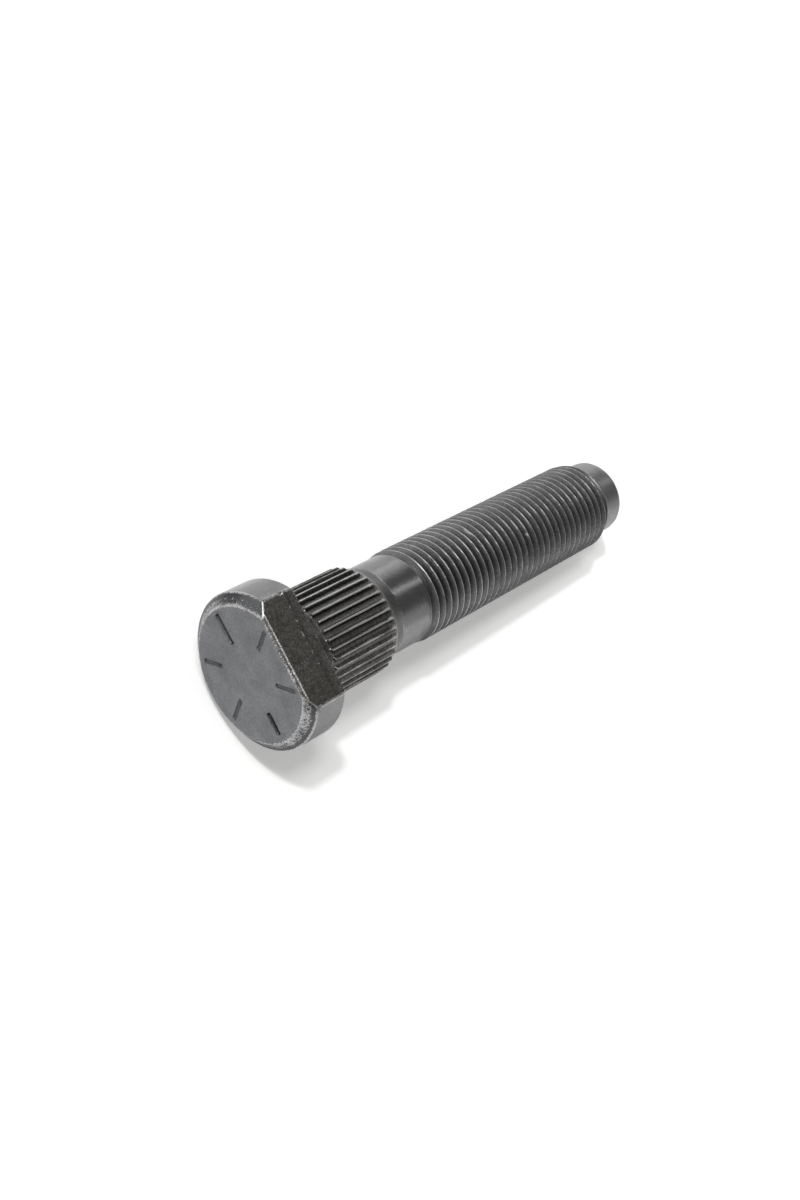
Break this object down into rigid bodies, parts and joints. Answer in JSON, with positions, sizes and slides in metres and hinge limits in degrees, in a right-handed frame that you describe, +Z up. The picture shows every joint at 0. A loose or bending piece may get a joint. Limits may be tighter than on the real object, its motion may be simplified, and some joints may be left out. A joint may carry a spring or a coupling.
{
  "type": "wheel stud",
  "caption": "Press-in wheel stud lying on its side: D-shaped head, straight ribbed collar, plain shank, fine right-hand thread and plain dog point.",
  "frame": {"origin": "on the table, under the middle of the lying stud's box", "axes": "+Y along the stud from its head to its dog point, +Z up, which is the way the head's flat faces; the stud's own axis dips 3.5 degrees towards the dog point, because it rests on the rim of its head and the end of its thread"},
  "size_m": [0.0224, 0.0796, 0.0198],
  "materials": {
    "phosphated_steel": "black phosphate on forged and rolled steel, rubbed bare along the edges"
  },
  "bodies": {
    "root": {"wheel_stud": "phosphated_steel"}
  },
  "joints": []
}
